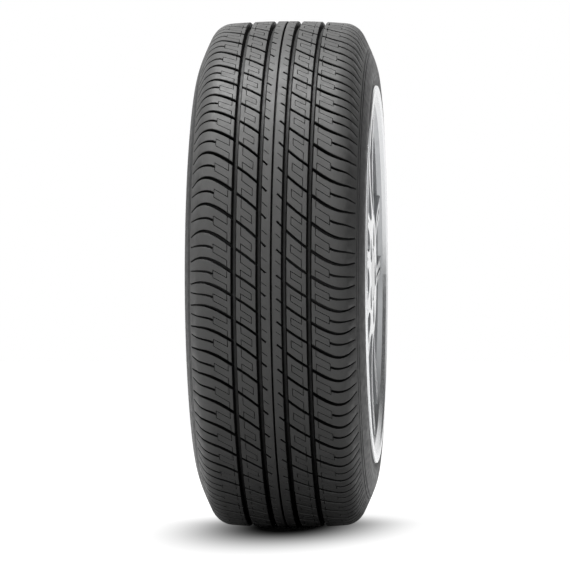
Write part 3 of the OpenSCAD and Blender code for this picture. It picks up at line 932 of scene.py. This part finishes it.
    def to_space(self, across: np.ndarray, radius: np.ndarray, pitches: np.ndarray) -> np.ndarray:
        """Carries points of the section round the axle.

        The angle starts at the side that faces the camera and runs against the pitches. The lowest
        stretch is pressed flat where the tyre stands.

        Args:
            across: distances from the tyre's middle, positive towards the design face.
            radius: distances from the axle.
            pitches: places round the tyre, in pitches.

        Returns:
            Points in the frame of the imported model, in metres.
        """
        angle = np.pi - self.pitch_angle(pitches)
        z = np.maximum(radius * np.sin(angle), -(self.sizes.tyre_r - self.sizes.contact_flat))
        return MM * np.stack([radius * np.cos(angle), -across + 0 * angle, z], axis=-1)

    def casing_curve(self) -> np.ndarray:
        """Draws the section from one tread edge through the bead and lining to the middle.

        It is the shoulder's lower edge with its two moulded lines, the sidewall with its shallow
        band, the rib that guards the flange, the bead's foot, heel and toe, and the lining.

        Returns:
            The section's points as [across, radius].
        """
        s = self.sizes
        curve = self.surface_curve()
        side = curve[curve[:, 0] > self.tread_edge]
        length = np.concatenate([[0], np.cumsum(np.linalg.norm(np.diff(side, axis=0), axis=1))])
        at = np.array([*self.lines_at, *self.side_at])
        at = np.append(at[at < length[-1] - 2], length[-1])
        outer = np.stack([np.interp(at, length, side[:, i]) for i in (0, 1)], axis=1)
        outer[1:len(self.lines_at):3, 0] -= self.line_depth
        guard = s.flange_top + s.guard_rise
        bulge = s.tyre_r - s.bulge_drop
        start, full, end = self.band_out
        rings = np.array([(s.half_w - self.band_edge, bulge - start),
                          (s.half_w - self.band_depth, bulge - full),
                          (s.half_w - self.band_depth, guard + end),
                          *((s.half_w - inwards, guard + out) for inwards, out in self.rib)])
        turn = np.radians(np.linspace(s.flange_leave, 90, 4))
        flange = np.array([s.rim_w / 2 + s.flange_r, s.flange_top - s.flange_r])
        reach = s.flange_r + s.bead_fit
        foot = flange + reach * np.stack([-np.sin(turn), np.cos(turn)], axis=1)
        turn = np.radians(np.linspace(90, 0, 4))
        seat_r = s.rim_d / 2 + s.seat_rise
        centre = np.array([s.rim_w / 2 - s.heel_r, seat_r + s.heel_r])
        reach = s.heel_r - s.bead_fit
        heel = centre + reach * np.stack([np.sin(turn), -np.cos(turn)], axis=1)
        drop = (s.bead_w - s.heel_r) * math.tan(math.radians(s.seat_slope))
        toe = np.array([s.rim_w / 2 - s.bead_w, seat_r - drop + s.bead_fit])
        inside = np.array([toe[0] - 0.8, toe[1] + 5.5])
        widest = np.array([s.half_w - s.sidewall_t, bulge])
        under = np.array([s.crown_half_w - 5, s.tyre_r - s.crown_t - 2.2])
        lower = bow(inside, np.array([widest[0] - 3, s.flange_top + 0.5]), widest, 4)
        upper = bow(widest, np.array([widest[0], under[1] - 2]), under, 4)
        middle = [0.0, s.tyre_r - s.crown_t]
        return np.vstack([outer, rings, foot, heel, toe, lower, upper[1:], middle])

    def mesh(self) -> tuple[np.ndarray, np.ndarray, np.ndarray, np.ndarray]:
        """Lays the pitch tile round the tyre and closes it with the casing.

        The tile's far seam is the next tile's near seam, so each tile adds all its points but
        those. The casing is a grid whose rows are the section's points and whose columns are the
        points along the tread's edge. The two edges are set off against each other, so the
        columns drift by that much through the lining.

        Returns:
            The points, the triangles and quads as index rows padded with -1, the value that sets
            each point's painted shade (how far a tread point is sunk, from 0 to 1, or the moulded
            lines' painted shade in the casing), and for each face 0 in the tread or 1 in the
            casing.
        """
        s = self.sizes
        flat, faces, depth, share = self.tile()
        seam = self.seam(flat[:, 0])
        near = np.flatnonzero(np.abs(flat[:, 1] - seam) < CLOSE)
        far = np.flatnonzero(np.abs(flat[:, 1] - seam - s.pitch_l) < CLOSE)
        near, far = near[np.argsort(flat[near, 0])], far[np.argsort(flat[far, 0])]
        if len(near) != len(far) or np.abs(flat[near, 0] - flat[far, 0]).max() > 10 * CLOSE:
            raise ValueError("the two seams of a pitch don't match")
        own = np.setdiff1d(np.arange(len(flat)), far)
        place = np.full(len(flat), -1)
        place[own] = np.arange(len(own))
        radius, out = self.on_surface(flat[:, 0])
        across, radius = flat[:, 0] - depth * out[:, 0], radius - depth * out[:, 1]
        tiles = np.arange(s.pitch_count)
        pitches = tiles[:, None] + flat[own, 1][None] / s.pitch_l
        tread = self.to_space(np.broadcast_to(across[own], pitches.shape),
                              np.broadcast_to(radius[own], pitches.shape), pitches)
        index = tiles[:, None] * len(own) + np.where(place >= 0, place, 0)[None]
        index[:, far] = ((tiles[:, None] + 1) % s.pitch_count) * len(own) + place[near][None]
        tris = index[:, faces].reshape(-1, 3)
        points, sunk = [tread.reshape(-1, 3)], [np.tile(share[own], s.pitch_count)]

        def edge(side: int) -> tuple[np.ndarray, np.ndarray]:
            """Lists the points along one edge of the tread.

            Args:
                side: 1 for the design face's edge, -1 for the other.

            Returns:
                The points' numbers and their places in pitches, in order.
            """
            chosen = own[np.abs(flat[own, 0] - side * self.tread_edge) < CLOSE]
            where = (tiles[:, None] + flat[chosen, 1][None] / s.pitch_l).ravel()
            number = (tiles[:, None] * len(own) + place[chosen][None]).ravel()
            order = np.argsort(where)
            return number[order], where[order]

        design, design_at = edge(1)
        back, back_at = edge(-1)
        shift = int(round(np.interp(design_at[0], back_at, np.arange(len(design)))))
        back = np.roll(back, -shift)
        back_at = np.concatenate([back_at[shift:], back_at[:shift] + s.pitch_count])
        half = self.casing_curve()
        section = np.vstack([half, (half[:-1] * [-1, 1])[::-1]])
        # The columns drift only along the lining under the tread, on both sides of the middle
        rows, middle = np.arange(len(section)), len(half) - 1
        lining = rows[(section[:, 1] > s.tyre_r - s.crown_t - self.lining_drop)
                      & (np.abs(rows - middle) < self.lining_rows)]
        drift = np.clip((rows - lining[0]) / (lining[-1] - lining[0]), 0, 1)[:, None]
        grid_at = (1 - drift) * design_at[None] + drift * back_at[None]
        grid = self.to_space(np.broadcast_to(section[:, :1], grid_at.shape),
                             np.broadcast_to(section[:, 1:], grid_at.shape), grid_at)
        first = s.pitch_count * len(own)
        numbers = np.vstack([design, first + np.arange(grid_at.size).reshape(grid_at.shape), back])
        points.append(grid.reshape(-1, 3))
        lines = np.zeros(grid_at.shape)
        count = len(self.lines_at)
        # The middle row of each moulded line takes a painted shade through the sunk attribute,
        # darkening its crease
        lines[1:count:3] = lines[-count + 1::3] = self.line_painted_shade
        sunk.append(lines.ravel())
        a, b = numbers[:-1], numbers[1:]
        quads = np.stack([a, b, np.roll(b, -1, axis=1), np.roll(a, -1, axis=1)], axis=-1)
        quads = quads.reshape(-1, 4)
        joined = np.vstack([np.hstack([tris, np.full((len(tris), 1), -1)]), quads])
        casing = np.concatenate([np.zeros(len(tris), int), np.ones(len(quads), int)])
        return np.vstack(points), joined, np.concatenate(sunk), casing

    def build(self) -> bpy.types.Object:
        """Makes the tyre's object, with its sunk places marked for their painted shade and its two
        skins marked.

        Returns:
            The piece, with no material yet.
        """
        points, rows, sunk, casing = self.mesh()
        piece = mesh_object("tyre_rubber", points, rows)
        attribute = piece.data.attributes.new("sunk", "FLOAT", "POINT")
        attribute.data.foreach_set("value", sunk.astype(np.float32))
        piece.data.polygons.foreach_set("material_index", casing.astype(np.int32))
        piece.data.set_sharp_from_angle(angle=math.radians(self.sharp_deg))
        return piece

    def dress(self, effects: SharedEffects) -> bpy.types.Object:
        """Builds the tyre and gives it its two skins.

        Args:
            effects: the shared node groups.

        Returns:
            The finished piece.
        """
        piece = self.build()
        for finish in (self.tread_finish, self.side_finish):
            piece.data.materials.append(finish.material(effects))
        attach(piece, "root")
        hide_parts("tyre")
        return piece


def mesh_object(name: str, points: np.ndarray, rows: np.ndarray) -> bpy.types.Object:
    """Makes an object from whole arrays.

    Args:
        name: the piece's name.
        points: the points, in metres.
        rows: the faces as rows of four point numbers, with -1 last in a triangle.

    Returns:
        The object, linked to the scene, with smooth faces.
    """
    mesh = bpy.data.meshes.new(name)
    sizes = np.where(rows[:, 3] < 0, 3, 4)
    loops = rows[rows >= 0]
    starts = np.concatenate([[0], np.cumsum(sizes)[:-1]])
    mesh.vertices.add(len(points))
    mesh.vertices.foreach_set("co", points.astype(np.float32).ravel())
    mesh.loops.add(len(loops))
    mesh.loops.foreach_set("vertex_index", loops.astype(np.int32))
    mesh.polygons.add(len(sizes))
    mesh.polygons.foreach_set("loop_start", starts.astype(np.int32))
    mesh.polygons.foreach_set("loop_total", sizes.astype(np.int32))
    mesh.polygons.foreach_set("use_smooth", np.ones(len(sizes), bool))
    mesh.update(calc_edges=True)
    mesh.validate()
    made = bpy.data.objects.new(name, mesh)
    bpy.context.scene.collection.objects.link(made)
    return made


# ---- Wheel, valve and cap ----


@dataclass
class AlloyWheel:
    """The cast wheel, as packed, in lacquered silver with a turned face and lip."""

    finish: AlloyFinish = AlloyFinish("wheel_alloy", (0.46, 0.47, 0.48), (0.92, 0.93, 0.94),
                                      face_from=-0.078)

    def dress(self, effects: SharedEffects) -> bpy.types.Object:
        """Gives the wheel its finish."""
        return dress_node("wheel", self.finish.material(effects))


@dataclass
class ValveAndCap:
    """The valve's four parts, the centre cap and its spring ring, as packed."""

    finishes: dict[str, PlainFinish] = field(default_factory=lambda: {
        "valve_stem": PlainFinish(
            "valve_stem_rubber", (0.018, 0.018, 0.018), (0.03, 0.03, 0.03),
            rough=(0.5, 0.65), metallic=0.0),
        "valve_tube": PlainFinish(
            "valve_tube_brass", (0.55, 0.38, 0.14), (0.40, 0.26, 0.09),
            rough=(0.28, 0.42), metallic=1.0),
        "valve_core": PlainFinish(
            "valve_core_brass", (0.62, 0.46, 0.20), (0.45, 0.32, 0.14),
            rough=(0.25, 0.38), metallic=1.0),
        "valve_cap": PlainFinish(
            "valve_cap_plastic", (0.016, 0.016, 0.017), (0.028, 0.028, 0.028),
            rough=(0.38, 0.52), metallic=0.0),
        "centre_cap": PlainFinish(
            "centre_cap_lacquer", (0.60, 0.61, 0.62), (0.57, 0.58, 0.59),
            rough=(0.26, 0.30), metallic=0.75, coat=0.5, grain=0.0003),
        "cap_ring": PlainFinish(
            "spring_wire_steel", (0.42, 0.43, 0.45), (0.32, 0.33, 0.35),
            rough=(0.25, 0.36), metallic=1.0),
    })

    def dress(self, effects: SharedEffects) -> list[bpy.types.Object]:
        """Gives each small part its finish."""
        return [dress_node(name, finish.material(effects))
                for name, finish in self.finishes.items()]


def dress_node(name: str, material: bpy.types.Material) -> bpy.types.Object:
    """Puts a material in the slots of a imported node.

    Args:
        name: the node's name.
        material: its finish.

    Returns:
        The node's object.
    """
    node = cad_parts[name]
    if not node.material_slots:
        node.data.materials.append(material)
    for slot in node.material_slots:
        slot.material = material
    return node


# ---- Studio ----


@dataclass(frozen=True)
class Lamp:
    """One soft square lamp, in metres and watts, which gloss mirrors or not."""

    place: Place
    aim: Place
    side: float
    power: float
    mirrored: bool = True


class Light(Enum):
    """The lamps of the studio."""

    TOP = Lamp((-0.2, 0.5, 2.4), (-0.1, 0.1, 0.2), side=1.5, power=100.0)
    FRONT = Lamp((-3.5, 1.15, 0.05), (0.0, 0.0, 0.0), side=1.2, power=78.0, mirrored=False)
    FACE = Lamp((-1.2, -3.2, 1.4), (0.0, 0.0, 0.0), side=1.6, power=4.0)


@dataclass
class Studio:
    """A white floor with a painted shadow, a white backdrop, soft lamps, and the camera at the
    photograph's view.

    The azimuth is in degrees, lengths are in metres, and focal_px and aim_px in pixels. The floor's
    painted shadow is an oval round the place under the wheel's centre. Distances from there count
    away_beyond times behind the tyre and away_before times before it, as the camera sees it, and
    away_beside times to its sides, and the away ranges run over that counted distance. The room's
    values are the brightness that mirrored rays meet. They go by the share of such a ray that runs
    ahead, away from the camera: behind_to below it and ahead_from above it.
    """

    azimuth: float = -85.85
    distance: float = 6.5
    focal_px: float = 5255.0
    aim_px: Range = (5.0, 10.8)
    sensor_mm: float = 36.0
    floor_z: float = -0.31065
    floor_half: float = 12.0
    # Painted shadow on the floor: the oval's stretch behind, before and beside the tyre, and the
    # ranges over which the glow, the glow in gloss and the base colour rise again
    away_beyond: float = 2.6
    away_before: float = 1.333
    away_beside: float = 5.81
    painted_shadow_glow_away: Range = (0.2, 1.0)
    painted_shadow_gloss_away: Range = (0.2, 1.3)
    gloss_glow: float = 0.9
    painted_shadow_base_away: Range = (0.8, 2.0)
    painted_shadow_base: Colour = (0.02, 0.02, 0.02)
    base_far: Colour = (0.3, 0.3, 0.3)
    room_behind: float = 0.75
    room_beside: float = 0.08
    room_ahead: float = 1.0
    behind_to: Range = (0.0, 0.4)
    ahead_from: Range = (0.7, 0.95)
    room_light: float = 0.05

    def camera(self) -> bpy.types.Object:
        """Makes the camera, aimed so that the wheel's centre falls where the photograph has it.

        Returns:
            The camera's object.
        """
        data = bpy.data.cameras.new("photo_camera")
        data.sensor_width = self.sensor_mm
        data.lens = self.focal_px / IMAGE_SIDE * data.sensor_width
        data.clip_start, data.clip_end = 0.05, 60.0
        made = bpy.data.objects.new("photo_camera", data)
        bpy.context.scene.collection.objects.link(made)
        turn = math.radians(self.azimuth)
        back = Vector((math.sin(turn), -math.cos(turn), 0.0))
        right = Vector((math.cos(turn), math.sin(turn), 0.0))
        made.location = back * self.distance
        per_px = self.distance / self.focal_px
        up = Vector((0, 0, 1))
        target = -right * self.aim_px[0] * per_px - up * self.aim_px[1] * per_px
        made.rotation_mode = "QUATERNION"
        made.rotation_quaternion = (target - made.location).to_track_quat("-Z", "Y")
        bpy.context.scene.camera = made
        return made

    def floor(self) -> bpy.types.Object:
        """Makes the floor: white to the camera, with a painted shadow round the object.

        To the camera and in gloss, the glow is full away from the object and sinks towards the
        place that it stands on: a painted shadow on the floor and in what mirrors it. The base
        colour sinks there too, a painted shadow that also lets little light come up.

        Returns:
            The floor's object.
        """
        half = self.floor_half
        corners = np.array([[-half, -half], [half, -half], [half, half], [-half, half]])
        points = np.hstack([corners, np.full((4, 1), self.floor_z)])
        made = mesh_object("floor", points, np.array([[0, 1, 2, 3]]))
        material, wiring, skin = new_material("floor_white_painted_shadow")
        skin.inputs["Roughness"].default_value = 0.9
        skin.inputs["Specular IOR Level"].default_value = 0.0
        path = wiring.node("ShaderNodeLightPath")
        x, y = wiring.node("ShaderNodeSeparateXYZ", {0: wiring.place()}).outputs[:2]
        along = wiring.maths("MAXIMUM", wiring.maths("MULTIPLY", x, self.away_beyond),
                             wiring.maths("MULTIPLY", x, -self.away_before))
        across = wiring.maths("MULTIPLY", y, self.away_beside)
        away = wiring.maths("SQRT", wiring.maths("ADD", wiring.maths("MULTIPLY", along, along),
                                                 wiring.maths("MULTIPLY", across, across)))
        # Painted shadow: the base colour darkens towards the place that the object stands on
        wiring.feed(skin.inputs["Base Color"], wiring.mix(
            wiring.ramp(away, *self.painted_shadow_base_away), rgba(self.painted_shadow_base), rgba(self.base_far)))
        # Painted shadow: the glow to the camera, and below it the glow in gloss, sink towards that
        # place
        direct = wiring.maths("MULTIPLY", path.outputs["Is Camera Ray"],
                              wiring.ramp(away, *self.painted_shadow_glow_away))
        in_gloss = wiring.maths("MULTIPLY", path.outputs["Is Glossy Ray"],
                                wiring.ramp(away, *self.painted_shadow_gloss_away, 0.0, self.gloss_glow))
        skin.inputs["Emission Color"].default_value = (1, 1, 1, 1)
        wiring.feed(skin.inputs["Emission Strength"], wiring.maths("ADD", in_gloss, direct))
        made.data.materials.append(material)
        return made

    def world(self) -> None:
        """Makes the surroundings, which are white to the camera.

        Mirrored rays meet white straight ahead of the camera, dark screens to the sides and a
        bright room behind it. As light on the object, the surroundings are very dim.
        """
        world = bpy.data.worlds.new("studio")
        bpy.context.scene.world = world
        world.use_nodes = True
        world.node_tree.nodes.clear()
        wiring = Wiring(world.node_tree)
        path = wiring.node("ShaderNodeLightPath")
        seen = wiring.maths("MAXIMUM", path.outputs["Is Camera Ray"],
                            wiring.maths("MAXIMUM", path.outputs["Is Glossy Ray"],
                                         path.outputs["Is Transmission Ray"]))
        ahead = wiring.node("ShaderNodeSeparateXYZ", {
            0: wiring.node("ShaderNodeTexCoord").outputs["Generated"]}).outputs[0]
        room = wiring.maths(
            "MAXIMUM",
            wiring.ramp(ahead, *self.behind_to, self.room_behind, self.room_beside),
            wiring.ramp(ahead, *self.ahead_from, self.room_beside, self.room_ahead))
        shown = wiring.maths("MAXIMUM", path.outputs["Is Camera Ray"], room)
        strength = wiring.node("ShaderNodeMix", {
            0: seen, 2: self.room_light, 3: shown}).outputs[0]
        light = wiring.node("ShaderNodeBackground", {"Color": (1, 1, 1, 1), "Strength": strength})
        wiring.node("ShaderNodeOutputWorld", {"Surface": light.outputs[0]})

    def lamps(self) -> None:
        """Makes the soft lamps, each turned to what it lights."""
        for light in Light:
            lamp = light.value
            data = bpy.data.lights.new(light.name.lower(), "AREA")
            data.shape, data.energy = "RECTANGLE", lamp.power
            data.size = data.size_y = lamp.side
            made = bpy.data.objects.new(light.name.lower(), data)
            made.location = lamp.place
            made.rotation_mode = "QUATERNION"
            made.rotation_quaternion = (Vector(lamp.aim) - made.location).to_track_quat("-Z", "Y")
            made.visible_glossy = lamp.mirrored
            bpy.context.scene.collection.objects.link(made)

    def build(self) -> None:
        """Makes the whole studio."""
        bpy.context.scene.view_settings.view_transform = "Standard"
        self.world()
        self.floor()
        self.lamps()
        self.camera()


def main() -> None:
    """Builds the pieces in order and reports each one."""
    logging.basicConfig(level=logging.INFO, format="%(name)s: %(message)s")
    Studio().build()
    LOG.info("studio ready")
    effects = SharedEffects()
    rubber = Tyre().dress(effects)
    LOG.info("%s: %d points, %d faces", rubber.name, len(rubber.data.vertices),
             len(rubber.data.polygons))
    LOG.info("%s dressed", AlloyWheel().dress(effects).name)
    for piece in ValveAndCap().dress(effects):
        LOG.info("%s dressed", piece.name)


if __name__ == "__main__":
    main()
